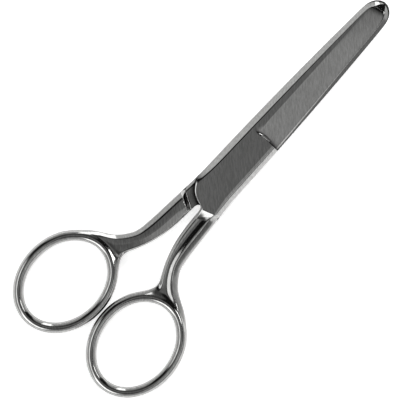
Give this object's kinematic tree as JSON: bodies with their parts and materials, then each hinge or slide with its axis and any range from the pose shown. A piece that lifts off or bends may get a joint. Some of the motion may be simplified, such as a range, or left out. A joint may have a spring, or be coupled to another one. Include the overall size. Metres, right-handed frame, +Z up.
{
  "type": "first aid scissors",
  "caption": "Straight scissors with rounded blunt tips, oval finger rings and a slotted pivot screw, in bright nickel-plated steel, closed and lying flat.",
  "frame": {"origin": "on the surface below the middle of the closed scissors", "axes": "+X from the finger rings to the tips, +Z up from the surface through the pivot screw's axis direction"},
  "size_m": [0.14, 0.0552, 0.0047],
  "materials": {
    "top_half": "bright nickel plate over fine grinding marks",
    "bottom_half": "bright nickel plate over fine grinding marks",
    "pivot_screw": "turned steel, satin"
  },
  "bodies": {
    "bottom": {"bottom_half": "bottom_half"},
    "top": {"top_half": "top_half", "pivot_screw": "pivot_screw"}
  },
  "joints": [
    {"name": "pivot", "type": "hinge", "parent": "bottom", "child": "top", "pos_m": [-0.00374, 0, 0.00235], "axis": [0, 0, 1], "range_deg": [0, 90]}
  ]
}
